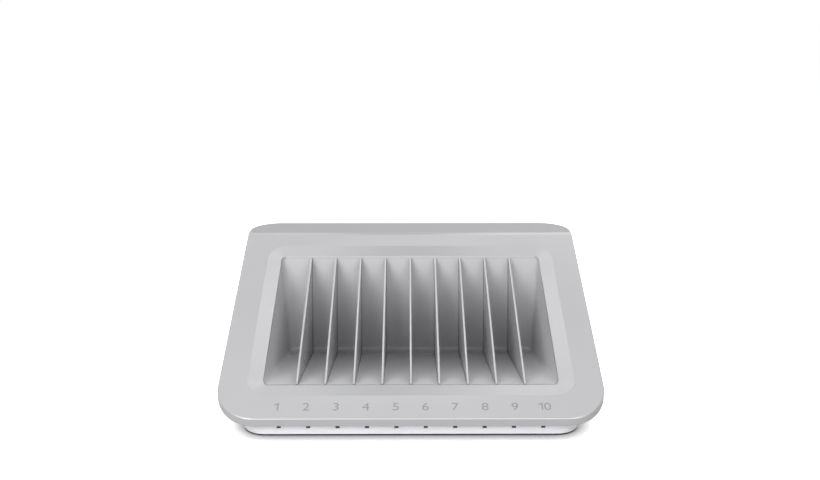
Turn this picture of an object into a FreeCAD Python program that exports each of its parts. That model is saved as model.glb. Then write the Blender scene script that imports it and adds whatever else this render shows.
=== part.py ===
import FreeCAD, Part
import math
import os

# Tablet charging station. A white base tray carries a sloping grey deck cover. Ten bays stand in a
# right-angled well under the deck's mouth, parted by thin panels set in grooves. Each bay has a status
# window under the front lip and a charging port in the back, beside the mains inlet and the switch.
# Millimetres and degrees. +Z is up, the front faces -Y, and the origin is on the table, under the
# middle of the deck's outline.

overrun = 1.0
tolerance = 0.05

# Bays and dividers
bay_count = 10
bay_pitch = 30.0
end_bay_foot = 26.4
end_flare = 8.2
divider_thickness = 2.2
divider_drop = 0.8
divider_rim_gap = 0.3
divider_shoulder_gap = 0.4
divider_back_round = 1.2
divider_front_round = 0.6
divider_edge_bevel = 0.5

# Deck cover
deck_tilt = 25.0
front_height = 23.0
front_border = 30.8
side_border = 29.8
back_border = 25.1
strip_depth = 52.1
fold_radius = 22.0
front_corner = 42.0
back_corner = 36.0
deck_plate = 2.4
lip_height = 7.8
lip_wall = 2.4
deck_edge_round = 1.4
bevel_width = 16.0
bevel_drop = 2.5
rim_thickness = 2.8
mouth_length = 206.9
mouth_corner = 7.0
cover_boss_length = 10.0
grip_rib_thickness = 2.0
grip_rib_count = 7

# Well tub
well_lean = 10.2
well_wall = 2.6
well_corner = 6.0
groove_depth = 1.2
groove_gap = 0.15
step_depth = 2.4
step_top = 7.4
step_bottom = 4.4
flange_width = 7.0
flange_thickness = 2.2

# Base tray
foot_gap = 1.5
side_inset = 27.0
front_inset = 9.0
back_inset = 12.0
base_corner = 25.0
base_wall = 2.5
base_floor = 2.5
base_edge_bevel = 1.0
foot_radius = 8.0
foot_margin = 30.0
vent_count = 9
vent_width = 3.0
vent_pitch = 8.0
vent_length = 26.0
well_rib_thickness = 2.0
well_rib_shares = (0.3, 0.75)
well_rib_start_share = 0.15
well_rib_end_share = 0.75

# Towers in the base that meet bosses under the deck, with a deep recess for each screw's head
tower_radius = 4.5
tower_edge = 15.5
tower_cap = 3.0
tower_recess_radius = 3.2

# Status lights
window_width = 4.2
window_height = 3.2
window_level = 10.3
window_gap = 0.1
pipe_collar = 0.8
pipe_collar_length = 4.0
led_width = 3.0
led_height = 1.6
led_depth = 1.0
led_gap = 0.3
led_board_thickness = 1.6
led_board_height = 15.0
led_board_margin = 7.0
led_clip_thickness = 1.5
led_clip_height = 5.0
led_clip_width = 8.0
led_clip_every_count = 2

# Rear panel
panel_side = 24.5
panel_height = 44.0
panel_level = 50.0
panel_thickness = 2.4
panel_corner = 4.0
panel_gap = 0.2
ledge_width = 6.0
ledge_thickness = 2.4
ledge_margin = 4.0

# Charging ports and their board
port_margin = 14.0
switch_port_spacing = 31.0
port_width = 13.2
port_height = 5.8
port_depth = 13.6
port_skin = 0.5
port_gap = 0.2
tongue_width = 10.8
tongue_thickness = 1.8
tongue_length = 9.0
tongue_offset = 0.7
board_thickness = 1.6
board_depth = 58.0
board_margin = 4.0
board_rib_thickness = 2.0
board_rib_length = 34.0
board_rib_shares = (0.06, 0.5, 0.94)
coil_size = 8.0
coil_height = 5.0
coil_bevel = 1.5

# Mains inlet
inlet_margin = 26.0
inlet_flange_width = 31.0
inlet_flange_height = 24.5
inlet_flange_thickness = 2.2
inlet_flange_corner = 3.0
inlet_body_width = 27.0
inlet_body_height = 20.0
inlet_body_depth = 22.0
inlet_cavity_width = 24.0
inlet_cavity_height = 16.4
inlet_cavity_depth = 17.0
inlet_cavity_chamfer = 4.5
pin_width = 2.0
pin_height = 4.0
pin_recess = 3.0
pin_tail = 7.0
pin_spread = 7.0
pin_rise = 2.0

# Power switch
switch_spacing = 38.0
switch_flange_width = 15.5
switch_flange_height = 22.0
switch_flange_thickness = 2.0
switch_flange_corner = 2.0
switch_body_width = 13.2
switch_body_height = 19.4
switch_body_depth = 13.0
switch_skin = 1.1
rocker_gap = 0.35
rocker_slope = 10.0
rocker_throw = 9.0
rocker_proud = 1.0
rocker_thickness = 4.5
pivot_radius = 1.2
pivot_length = 0.7
pivot_gap = 0.05
pivot_depth = 2.2

# Power supply
supply_width = 84.0
supply_depth = 56.0
supply_height = 28.0
supply_edge = 2.0
supply_side_gap = 12.0
supply_well_gap = 6.0
standoff_height = 2.0
stop_thickness = 2.0
stop_height = 9.0
stop_share = 0.3
supply_cover_sheet = 1.2
supply_slot_count = 8
supply_slot_width = 3.0
supply_slot_length = 30.0
terminal_width = 46.0
terminal_depth = 13.0
terminal_height = 11.0

# Worked-out sizes of the deck and the well
tilt = math.radians(deck_tilt)
lean = math.radians(well_lean)
floor_angle = tilt + lean
divider_count = bay_count - 1
foot_half = bay_pitch * (bay_count / 2 - 1) + divider_thickness / 2 + end_bay_foot
mouth_half = foot_half + end_flare
deck_half = mouth_half + bevel_width + side_border
mouth_front = front_border + bevel_width
slope_length = mouth_front + mouth_length + bevel_width + back_border
deck_run = slope_length * math.cos(tilt)
deck_depth = deck_run + strip_depth
front_y = -deck_depth / 2
back_y = deck_depth / 2
deck_top = front_height + slope_length * math.sin(tilt)
plate_drop = deck_plate / math.cos(tilt)
rim_level = -(bevel_drop + rim_thickness)
floor_length = mouth_length * math.cos(floor_angle)
well_depth = floor_length * math.sin(floor_angle)
crease_along = mouth_front + floor_length * math.cos(floor_angle)
crease_under = bevel_drop + well_depth
crease_y = front_y + crease_along * math.cos(tilt) + crease_under * math.sin(tilt)
crease_z = front_height + crease_along * math.sin(tilt) - crease_under * math.cos(tilt)

# Worked-out places in the base
base_half = deck_half - side_inset
base_front = front_y + front_inset
base_back = back_y - back_inset
floor_z = foot_gap + base_floor
inner_half = base_half - base_wall
inner_front = base_front + base_wall
inner_back = base_back - base_wall
panel_half = base_half - panel_side
panel_inner = base_back - panel_thickness
board_top = panel_level - port_height / 2
board_bottom = board_top - board_thickness
inlet_x = panel_half - inlet_margin
switch_x = inlet_x - switch_spacing
port_first = -panel_half + port_margin + port_width / 2
port_last = switch_x - switch_port_spacing
port_pitch = (port_last - port_first) / (bay_count - 1)
vent_level = (panel_level + panel_height / 2 + deck_top) / 2
pivot_half = switch_body_width / 2 - switch_skin + pivot_length
supply_top = floor_z + standoff_height + supply_height
supply_x = inner_half - supply_side_gap - supply_width / 2
pipe_back = inner_front + pipe_collar_length
led_board_front = pipe_back + led_gap + led_depth

X_AXIS = FreeCAD.Vector(1, 0, 0)
DECK_PLACE = FreeCAD.Placement(FreeCAD.Vector(0, front_y, front_height), FreeCAD.Rotation(X_AXIS, deck_tilt))


# Shared shapes

def box(x0, x1, y0, y1, z0, z1):
    """Block between two corners."""
    return Part.makeBox(x1 - x0, y1 - y0, z1 - z0, FreeCAD.Vector(x0, y0, z0))


def rod(x, y, z0, z1, radius):
    """Upright cylinder."""
    return Part.makeCylinder(radius, z1 - z0, FreeCAD.Vector(x, y, z0))


def fuse_all(shape, others):
    """One shape fused with a list of others, with the seams taken out."""
    return shape.fuse(others).removeSplitter()


def outline(half, y0, y1, front_radius, back_radius, z):
    """Level rounded rectangle, with its own corner radius at the front and at the back."""
    edges = []
    corners = [
        (half, y0, front_radius, -1, 1),
        (half, y1, back_radius, -1, -1),
        (-half, y1, back_radius, 1, -1),
        (-half, y0, front_radius, 1, 1),
    ]
    slant = math.sqrt(0.5)
    arcs = []
    for index, (x, y, radius, inward_x, inward_y) in enumerate(corners):
        centre = FreeCAD.Vector(x + inward_x * radius, y + inward_y * radius, z)
        side = FreeCAD.Vector(x, centre.y, z)
        end = FreeCAD.Vector(centre.x, y, z)
        middle = centre - FreeCAD.Vector(inward_x * slant * radius, inward_y * slant * radius, 0)
        turn = (end, middle, side) if index % 2 == 0 else (side, middle, end)
        arcs.append(turn)
    for index, turn in enumerate(arcs):
        edges.append(Part.Arc(*turn).toShape())
        following = arcs[(index + 1) % len(arcs)][0]
        if turn[-1].distanceToPoint(following) > tolerance:
            edges.append(Part.makeLine(turn[-1], following))
    return Part.Wire(edges)


def outline_block(half, y0, y1, front_radius, back_radius, z0, z1):
    """Upright prism on a rounded rectangle."""
    face = Part.Face(outline(half, y0, y1, front_radius, back_radius, z0))
    return face.extrude(FreeCAD.Vector(0, 0, z1 - z0))


def upright_plate(x, z, width, height, radius, y0, y1):
    """Rounded plate that stands across the depth, between two levels of Y."""
    flat = outline_block(width / 2, -height / 2, height / 2, radius, radius, 0, y1 - y0)
    flat.Placement = FreeCAD.Placement(FreeCAD.Vector(x, y1, z), FreeCAD.Rotation(X_AXIS, 90))
    return flat


def side_prism(points, x0, x1):
    """Prism along X on an outline of (y, z) points."""
    corners = [FreeCAD.Vector(x0, y, z) for y, z in points]
    face = Part.Face(Part.makePolygon(corners + corners[:1]))
    return face.extrude(FreeCAD.Vector(x1 - x0, 0, 0))


# The deck's surface and the well's corner

def deck_z(y):
    """Level of the deck's sloping top over a place along Y."""
    return front_height + (y - front_y) * math.tan(tilt)


def deck_edges(drop):
    """Side view of the deck's top, lowered by drop: slope, rounded fold and level strip."""
    fold = FreeCAD.Vector(0, front_y + deck_run, deck_top - drop)
    reach = fold_radius * math.tan(tilt / 2)
    start = fold - FreeCAD.Vector(0, reach * math.cos(tilt), reach * math.sin(tilt))
    end = fold + FreeCAD.Vector(0, reach, 0)
    centre = end - FreeCAD.Vector(0, 0, fold_radius)
    middle = centre + FreeCAD.Vector(0, -fold_radius * math.sin(tilt / 2), fold_radius * math.cos(tilt / 2))
    first = FreeCAD.Vector(0, front_y - overrun, deck_z(front_y - overrun) - drop)
    last = FreeCAD.Vector(0, back_y + overrun, deck_top - drop)
    curve = Part.Arc(start, middle, end).toShape()
    return [Part.makeLine(first, start), curve, Part.makeLine(end, last)], first, last


def deck_slab(drop, thickness):
    """Everything between the deck's top lowered by drop and the same surface further down."""
    upper, upper_first, upper_last = deck_edges(drop)
    lower, lower_first, lower_last = deck_edges(drop + thickness)
    ends = [Part.makeLine(upper_first, lower_first), Part.makeLine(upper_last, lower_last)]
    face = Part.Face(Part.Wire(Part.__sortEdges__(upper + lower + ends)))
    reach = deck_half + overrun
    face.translate(FreeCAD.Vector(-reach, 0, 0))
    return face.extrude(FreeCAD.Vector(2 * reach, 0, 0))


def on_deck(shape):
    """Shape drawn flat (across, up the slope, off the deck) and laid on the deck's plane."""
    laid = shape.copy()
    laid.Placement = DECK_PLACE.multiply(laid.Placement)
    return laid


def mouth_wire(grow, level):
    """Mouth's outline grown by a margin, at a level off the deck's plane."""
    radius = mouth_corner + grow
    near, far = mouth_front - grow, mouth_front + mouth_length + grow
    return outline(mouth_half + grow, near, far, radius, radius, level)


def mouth_block(grow, level0, level1):
    """Block on the mouth's outline grown by a margin, square to the deck."""
    return on_deck(Part.Face(mouth_wire(grow, level0)).extrude(FreeCAD.Vector(0, 0, level1 - level0)))


def well_place(along, up):
    """(y, z) of a point given from the crease, along the well's floor and up its back wall."""
    y = crease_y - along * math.cos(lean) + up * math.sin(lean)
    z = crease_z + along * math.sin(lean) + up * math.cos(lean)
    return y, z


def well_corners(grow, drop):
    """Crease, wall top and floor front of the well grown by a margin, cut off below the mouth by drop."""
    across = floor_length * math.sin(floor_angle) - drop
    wall_top = (across + grow * math.sin(floor_angle)) / math.cos(floor_angle)
    floor_front = (across + grow * math.cos(floor_angle)) / math.sin(floor_angle)
    return (-grow, -grow), (-grow, wall_top), (floor_front, -grow)


def well_prism(grow, drop, x0, x1):
    """Three-cornered prism of the well between two places across."""
    return side_prism([well_place(*corner) for corner in well_corners(grow, drop)], x0, x1)


def flare_half(level):
    """Half the well's width at a level off the deck's plane, between the flared ends."""
    return mouth_half + end_flare * (level + bevel_drop) / well_depth


def well_solid(grow):
    """The well's space, with flared ends and rounded end corners, grown by a margin."""
    reach = mouth_half + grow + overrun
    low = -(crease_under + 2 * grow + overrun)
    points = [
        FreeCAD.Vector(side * (flare_half(level) + grow), 0, level)
        for side, level in ((-1, overrun), (1, overrun), (1, low), (-1, low))
    ]
    ends = Part.Face(Part.makePolygon(points + points[:1])).extrude(FreeCAD.Vector(0, slope_length, 0))
    solid = well_prism(grow, -overrun, -reach, reach).common(on_deck(ends))
    rounded = [edge for edge in solid.Edges if runs_down_end(edge, grow)]
    return solid.makeFillet(well_corner + grow, rounded)


def runs_down_end(edge, grow):
    """Whether an edge lies between a flared end and the well's wall or floor."""
    first, last = (vertex.Point for vertex in edge.Vertexes)
    if abs(first.x - last.x) > end_flare + overrun:
        return False
    middle = (first + last) / 2
    back, up = middle.y - crease_y, middle.z - crease_z
    along = up * math.sin(lean) - back * math.cos(lean)
    rise = up * math.cos(lean) + back * math.sin(lean)
    return min(abs(along + grow), abs(rise + grow)) < tolerance


def bay_places():
    """Places across of the bays' middles."""
    return [bay_pitch * (index - (bay_count - 1) / 2) for index in range(bay_count)]


def divider_places():
    """Places across of the dividers' middles."""
    return [bay_pitch * (index - (divider_count - 1) / 2) for index in range(divider_count)]


def tower_places():
    """Places of the screw towers, one near each corner of the base."""
    x = inner_half - tower_edge
    return [(side * x, y) for y in (inner_front + tower_edge, inner_back - tower_edge) for side in (-1, 1)]


def tower_top(y):
    """Level where a base tower meets its boss under the deck."""
    surface = min(deck_z(y), deck_top)
    return surface - plate_drop - cover_boss_length


# Deck cover

def deck_shell():
    """Outer form of the deck with its rounded top edge, hollowed to a plate and a lip."""
    form = deck_slab(0, lip_height).common(
        outline_block(deck_half, front_y, back_y, front_corner, back_corner, 0, deck_top + overrun)
    )
    rim = outline(deck_half, front_y, back_y, front_corner, back_corner, 0)
    form = form.makeFillet(deck_edge_round, [edge for edge in form.Edges if is_top_edge(edge, rim)])
    hollow = deck_slab(plate_drop, lip_height).common(
        outline_block(
            deck_half - lip_wall, front_y + lip_wall, back_y - lip_wall,
            front_corner - lip_wall, back_corner - lip_wall, 0, deck_top,
        )
    )
    return form.cut(hollow)


def is_top_edge(edge, rim):
    """Whether an edge runs round the top of the deck's outline."""
    middle = edge.valueAt((edge.FirstParameter + edge.LastParameter) / 2)
    lowered = Part.Vertex(middle.x, middle.y, 0)
    tops = [vertex.Z > min(deck_z(vertex.Y), deck_top) - lip_height / 2 for vertex in edge.Vertexes]
    return rim.distToShape(lowered)[0] < tolerance and all(tops)


def bevel_cut():
    """Shallow funnel from the deck's plane down to the mouth."""
    spread = bevel_width / bevel_drop
    upper = mouth_wire(bevel_width + overrun * spread, overrun)
    lower = mouth_wire(0, -bevel_drop)
    return on_deck(Part.makeLoft([upper, lower], True, True))


def grip_ribs():
    """Ribs under the side overhangs, where hands take hold."""
    ribs = []
    under = deck_slab(plate_drop / 2, lip_height - plate_drop)
    first, last = front_y + front_corner, back_y - back_corner
    step = (last - first) / (grip_rib_count - 1)
    for index in range(grip_rib_count):
        y = first + index * step
        for side in (-1, 1):
            inner, outer = base_half + panel_gap, deck_half - lip_wall / 2
            x0, x1 = sorted((side * inner, side * outer))
            rib = box(x0, x1, y - grip_rib_thickness / 2, y + grip_rib_thickness / 2, 0, deck_top)
            ribs.append(rib.common(under))
    return ribs


def make_deck_cover():
    """Deck with its bevelled mouth, screw bosses and grip ribs."""
    rim = mouth_block(bevel_width, rim_level, -deck_plate / 2)
    below_top = deck_slab(plate_drop / 2, deck_top)
    bosses = [
        rod(x, y, tower_top(y), deck_top, tower_radius).common(below_top)
        for x, y in tower_places()
    ]
    cover = fuse_all(deck_shell(), [rim] + bosses + grip_ribs())
    return cover.cut([bevel_cut(), well_solid(0)])


# Well tub and dividers

def foot_step():
    """Moulded step along the foot of the back wall, with a sloping top that catches the light."""
    skin = well_wall / 2
    nose = [(0, step_top), (step_depth, step_bottom), (step_depth, -skin)]
    points = [(-skin, step_top)] + nose + [(-skin, -skin)]
    return side_prism([well_place(*point) for point in points], -mouth_half, mouth_half)


def make_well_tub():
    """Thin-walled well with its flange, foot step and divider grooves."""
    outside = well_solid(well_wall)
    space = well_solid(0)
    flange = mouth_block(well_wall + flange_width, rim_level - flange_thickness, rim_level)
    below_rim = mouth_block(bevel_width, -(crease_under + bevel_width), rim_level)
    tub = fuse_all(outside.common(below_rim), [flange]).cut(space)
    tub = fuse_all(tub, [foot_step().common(outside)])
    half = divider_thickness / 2 + groove_gap
    grooves = [well_prism(groove_depth, -overrun, x - half, x + half) for x in divider_places()]
    return tub.cut(grooves)


def make_divider(x):
    """Three-cornered panel with a bevelled top edge and rounded corners. Its shoulders sit in the grooves."""
    half = divider_thickness / 2
    raised = well_prism(-divider_rim_gap, divider_drop, x - half, x + half)
    long_edges = sorted(raised.Edges, key=lambda edge: edge.Length)[-2:]
    wall_top, floor_front = well_corners(-divider_rim_gap, divider_drop)[1:]
    tips = [
        divider_tip(wall_top, divider_back_round, x, half),
        divider_tip(floor_front, divider_front_round, x, half),
    ]
    raised = raised.makeChamfer(divider_edge_bevel, long_edges).cut(tips)
    shoulder_drop = rim_thickness + divider_shoulder_gap
    seated = well_prism(groove_depth - groove_gap, shoulder_drop, x - half, x + half)
    return fuse_all(raised, [seated])


def divider_tip(corner, radius, x, half):
    """What rounding takes off a divider's top corner: the corner's tip outside a tangent round."""
    sharp = well_prism(-divider_rim_gap, divider_drop, x - half - overrun, x + half + overrun)
    y, z = well_place(*corner)
    edges = [
        edge for edge in sharp.Edges
        if all(math.hypot(vertex.Y - y, vertex.Z - z) < tolerance for vertex in edge.Vertexes)
    ]
    return sharp.cut(sharp.makeFillet(radius, edges))


# Base tray

def base_block(inset, z0):
    """Block inside the base's outline by an inset, from a level up to the deck's underside."""
    radius = base_corner - inset
    block = outline_block(
        base_half - inset, base_front + inset, base_back - inset, radius, radius, z0, deck_top,
    )
    return block.common(deck_slab(plate_drop, 2 * deck_top))


def foot_places():
    """Places of the rubber feet."""
    x = base_half - foot_margin
    return [(side * x, y) for y in (base_front + foot_margin, base_back - foot_margin) for side in (-1, 1)]


def board_ends():
    """Left and right ends of the charging board."""
    first = port_first - port_width / 2 - board_margin
    last = port_first + port_pitch * (bay_count - 1) + port_width / 2 + board_margin
    return first, last


def supply_front():
    """Front face of the power supply, clear of the well's leaning wall."""
    wall_y, wall_z = well_place(-well_wall, 0)
    return wall_y + (supply_top - wall_z) * math.tan(lean) + supply_well_gap


def led_clips():
    """Pairs of low ribs that hold the light board's lower edge."""
    clips = []
    back = led_board_front + led_board_thickness
    for x in divider_places()[::led_clip_every_count]:
        for y0 in (led_board_front - panel_gap - led_clip_thickness, back + panel_gap):
            clips.append(
                box(x - led_clip_width / 2, x + led_clip_width / 2, y0, y0 + led_clip_thickness,
                    floor_z - base_floor / 2, floor_z + led_clip_height)
            )
    return clips


def well_ribs():
    """Ribs on the base's floor that carry the well's sloping floor."""
    start = well_place(floor_length * well_rib_start_share, -well_wall)
    end = well_place(floor_length * well_rib_end_share, -well_wall)
    root = floor_z - base_floor / 2
    points = [start, end, (end[0], root), (start[0], root)]
    half = well_rib_thickness / 2
    places = [side * foot_half * share for share in well_rib_shares for side in (-1, 1)]
    return [side_prism(points, x - half, x + half) for x in places]


def base_posts():
    """Screw towers, ribs under the charging board, and stops that hold the power supply."""
    root = floor_z - base_floor / 2
    posts = [rod(x, y, root, tower_top(y), tower_radius) for x, y in tower_places()]
    x0, x1 = board_ends()
    y0 = panel_inner - board_depth
    half = board_rib_thickness / 2
    for share in board_rib_shares:
        x = x0 + (x1 - x0) * share
        posts.append(box(x - half, x + half, y0, y0 + board_rib_length, root, board_bottom))
    y0 = supply_front()
    reach = supply_depth * stop_share
    for side in (-1, 1):
        inner = supply_x + side * (supply_width / 2 - stop_thickness)
        outer = supply_x + side * (supply_width / 2 + panel_gap)
        edge = outer + side * stop_thickness
        low, high = floor_z + standoff_height, floor_z + stop_height
        for start in (y0 + supply_edge, y0 + supply_depth - supply_edge - reach):
            posts.append(box(min(inner, edge), max(inner, edge), start, start + reach, root, low))
            posts.append(box(min(outer, edge), max(outer, edge), start, start + reach, root, high))
    return posts


def base_holes():
    """Screw recesses, status windows and vents."""
    holes = [rod(x, y, 0, tower_top(y) - tower_cap, tower_recess_radius) for x, y in tower_places()]
    for x in bay_places():
        half = window_width / 2 + window_gap
        low = window_level - window_height / 2 - window_gap
        high = window_level + window_height / 2 + window_gap
        holes.append(box(x - half, x + half, base_front - overrun, inner_front + overrun, low, high))
    for index in range(vent_count):
        x = vent_pitch * (index - (vent_count - 1) / 2)
        holes.append(box(x - vent_width / 2, x + vent_width / 2, inner_back - overrun, base_back + overrun,
                         vent_level - vent_length / 2, vent_level + vent_length / 2))
    return holes


def rear_frame():
    """Thicker frame inside the back wall, round the panel's recess."""
    y0 = panel_inner - ledge_thickness
    width = 2 * (panel_half + ledge_margin)
    return upright_plate(0, panel_level, width, panel_height + 2 * ledge_margin, panel_corner, y0,
                         base_back - base_wall / 2)


def rear_cuts():
    """Recess for the panel and the opening behind it."""
    recess = upright_plate(0, panel_level, 2 * (panel_half + panel_gap), panel_height + 2 * panel_gap,
                           panel_corner, panel_inner, base_back + overrun)
    opening = upright_plate(0, panel_level, 2 * (panel_half - ledge_width), panel_height - 2 * ledge_width,
                            panel_corner, panel_inner - ledge_thickness - overrun, base_back)
    return [recess, opening]


def make_base_tray():
    """Open white tray with its posts, clips, rear frame and cut-outs."""
    outside = base_block(0, foot_gap)
    bottom = [
        edge for edge in outside.Edges
        if all(abs(vertex.Z - foot_gap) < tolerance for vertex in edge.Vertexes)
    ]
    tray = outside.makeChamfer(base_edge_bevel, bottom).cut(base_block(base_wall, floor_z))
    tray = fuse_all(tray, base_posts() + well_ribs() + led_clips() + [rear_frame()])
    return tray.cut(base_holes() + rear_cuts())


def make_rubber_feet():
    """Round feet stuck under the base."""
    return Part.makeCompound([rod(x, y, 0, foot_gap, foot_radius) for x, y in foot_places()])


# Status lights

def make_light_pipe(x):
    """Smoked light pipe, flush with the base's front and stepped behind its wall."""
    half, rise = window_width / 2, window_height / 2
    front = box(x - half, x + half, base_front, pipe_back, window_level - rise, window_level + rise)
    half, rise = half + pipe_collar, rise + pipe_collar
    collar = box(x - half, x + half, inner_front, pipe_back, window_level - rise, window_level + rise)
    return front.fuse(collar).removeSplitter()


def make_status_leds():
    """One small light on the board behind each pipe."""
    rise = led_height / 2
    return Part.makeCompound([
        box(x - led_width / 2, x + led_width / 2, led_board_front - led_depth, led_board_front,
            window_level - rise, window_level + rise)
        for x in bay_places()
    ])


def make_led_board():
    """Strip board that stands on the floor behind the status windows."""
    half = bay_pitch * (bay_count - 1) / 2 + led_board_margin
    return box(-half, half, led_board_front, led_board_front + led_board_thickness,
               floor_z, floor_z + led_board_height)


# Rear panel, ports, inlet and switch

def port_places():
    """Places across of the charging ports."""
    return [port_first + port_pitch * index for index in range(bay_count)]


def make_rear_panel():
    """Plate with windows for the ports, the inlet and the switch."""
    panel = upright_plate(0, panel_level, 2 * panel_half, panel_height, panel_corner, panel_inner, base_back)
    y0, y1 = panel_inner - overrun, base_back + overrun
    cuts = [window_block(x, port_width, port_height, y0, y1) for x in port_places()]
    cuts.append(window_block(inlet_x, inlet_body_width, inlet_body_height, y0, y1))
    cuts.append(window_block(switch_x, switch_body_width, switch_body_height, y0, y1))
    return panel.cut(cuts)


def window_block(x, width, height, y0, y1):
    """Block that cuts a window round a piece of the given size, with room all round."""
    half, rise = width / 2 + port_gap, height / 2 + port_gap
    return box(x - half, x + half, y0, y1, panel_level - rise, panel_level + rise)


def make_usb_port(x):
    """Folded metal shell of a charging port, open at the back of the station."""
    half, rise = port_width / 2, port_height / 2
    y0 = base_back - port_depth
    shell = box(x - half, x + half, y0, base_back, panel_level - rise, panel_level + rise)
    half, rise = half - port_skin, rise - port_skin
    space = box(x - half, x + half, y0 + port_skin, base_back + overrun,
                panel_level - rise, panel_level + rise)
    return shell.cut(space)


def make_port_tongues():
    """Contact tongues, one in each port."""
    top = panel_level + port_height / 2 - port_skin - tongue_offset
    y0 = base_back - port_depth + port_skin
    return Part.makeCompound([
        box(x - tongue_width / 2, x + tongue_width / 2, y0, y0 + tongue_length, top - tongue_thickness, top)
        for x in port_places()
    ])


def make_charging_board():
    """Level board behind the panel that carries the ports."""
    x0, x1 = board_ends()
    return box(x0, x1, panel_inner - board_depth, panel_inner - panel_gap, board_bottom, board_top)


def make_board_coils():
    """One square coil on the board for each port, with bevelled corners."""
    middle = panel_inner - port_depth - (board_depth - port_depth) / 2
    half = coil_size / 2
    coils = []
    for x in port_places():
        coil = box(x - half, x + half, middle - half, middle + half, board_top, board_top + coil_height)
        corners = [edge for edge in coil.Edges if abs(edge.Vertexes[0].Z - edge.Vertexes[1].Z) > tolerance]
        coils.append(coil.makeChamfer(coil_bevel, corners))
    return Part.makeCompound(coils)


def inlet_cavity():
    """Space for the mains plug, with its two upper corners cut off."""
    half, rise, cut = inlet_cavity_width / 2, inlet_cavity_height / 2, inlet_cavity_chamfer
    points = [(-half, -rise), (half, -rise), (half, rise - cut), (half - cut, rise), (cut - half, rise),
              (-half, rise - cut)]
    mouth = base_back + inlet_flange_thickness + overrun
    corners = [FreeCAD.Vector(inlet_x + x, mouth, panel_level + z) for x, z in points]
    face = Part.Face(Part.makePolygon(corners + corners[:1]))
    return face.extrude(FreeCAD.Vector(0, -(inlet_cavity_depth + overrun), 0))


def pin_places():
    """Places across and up of the inlet's three pins."""
    return [(inlet_x - pin_spread, panel_level - pin_rise), (inlet_x, panel_level + pin_rise),
            (inlet_x + pin_spread, panel_level - pin_rise)]


def inlet_back():
    """Rear face of the inlet's body, inside the housing."""
    return base_back - inlet_body_depth


def pin_blocks(y0, y1):
    """The three pins between two places along Y."""
    return [
        box(x - pin_width / 2, x + pin_width / 2, y0, y1, z - pin_height / 2, z + pin_height / 2)
        for x, z in pin_places()
    ]


def make_mains_inlet():
    """Moulded inlet with a flange outside the panel and a deep socket."""
    flange = upright_plate(inlet_x, panel_level, inlet_flange_width, inlet_flange_height, inlet_flange_corner,
                           base_back, base_back + inlet_flange_thickness)
    body = box(inlet_x - inlet_body_width / 2, inlet_x + inlet_body_width / 2, inlet_back(), base_back,
               panel_level - inlet_body_height / 2, panel_level + inlet_body_height / 2)
    holes = pin_blocks(inlet_back() - overrun, base_back)
    return flange.fuse(body).removeSplitter().cut([inlet_cavity()] + holes)


def make_inlet_pins():
    """Flat pins that run through the inlet and end in tails for the wires."""
    front = base_back + inlet_flange_thickness - pin_recess
    return Part.makeCompound(pin_blocks(inlet_back() - pin_tail, front))


def switch_space():
    """Room inside the switch for the rocker."""
    width = switch_body_width - 2 * switch_skin
    height = switch_body_height - 2 * switch_skin
    y0 = base_back - switch_body_depth + switch_skin
    y1 = base_back + switch_flange_thickness + overrun
    return box(switch_x - width / 2, switch_x + width / 2, y0, y1,
               panel_level - height / 2, panel_level + height / 2)


def make_switch_housing():
    """Switch body with its flange and bearings for the rocker."""
    flange = upright_plate(switch_x, panel_level, switch_flange_width, switch_flange_height,
                           switch_flange_corner, base_back, base_back + switch_flange_thickness)
    body = box(switch_x - switch_body_width / 2, switch_x + switch_body_width / 2,
               base_back - switch_body_depth, base_back,
               panel_level - switch_body_height / 2, panel_level + switch_body_height / 2)
    bearing = pivot_rod(pivot_radius + pivot_gap, pivot_half + pivot_gap)
    return flange.fuse(body).removeSplitter().cut([switch_space(), bearing])


def pivot_rod(radius, half):
    """Rod on the rocker's axis."""
    start = FreeCAD.Vector(switch_x - half, base_back - pivot_depth, panel_level)
    return Part.makeCylinder(radius, 2 * half, start, X_AXIS)


def make_switch_rocker():
    """Rocker with a shallow V face and round ends about its pivot, resting with its upper end pressed in."""
    reach = switch_body_height / 2 - switch_skin - rocker_gap
    half = switch_body_width / 2 - switch_skin - rocker_gap
    axis_y = base_back - pivot_depth
    face = switch_flange_thickness + rocker_proud + pivot_depth
    rise = reach * math.tan(math.radians(rocker_slope))
    points = [
        (axis_y - rocker_thickness / 2, panel_level - reach),
        (axis_y + face + rise, panel_level - reach),
        (axis_y + face, panel_level),
        (axis_y + face + rise, panel_level + reach),
        (axis_y - rocker_thickness / 2, panel_level + reach),
    ]
    block = side_prism(points, switch_x - half, switch_x + half)
    ends = Part.makeCylinder(reach, 2 * half, FreeCAD.Vector(switch_x - half, axis_y, panel_level), X_AXIS)
    pivot = pivot_rod(pivot_radius, pivot_half)
    rocker = fuse_all(block.common(ends), [pivot])
    rocker.rotate(FreeCAD.Vector(switch_x, axis_y, panel_level), X_AXIS, rocker_throw)
    return rocker


# Power supply

def supply_block(z0, z1):
    """Part of the supply's box between two levels, with rounded upright edges."""
    y0 = supply_front()
    half = supply_width / 2
    block = box(supply_x - half, supply_x + half, y0, y0 + supply_depth, z0, z1)
    upright = [edge for edge in block.Edges if abs(edge.Vertexes[0].Z - edge.Vertexes[1].Z) > tolerance]
    return block.makeFillet(supply_edge, upright)


def make_power_supply_case():
    """Metal case that stands between the stops on the base's floor."""
    return supply_block(floor_z + standoff_height, supply_top - supply_cover_sheet)


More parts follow.
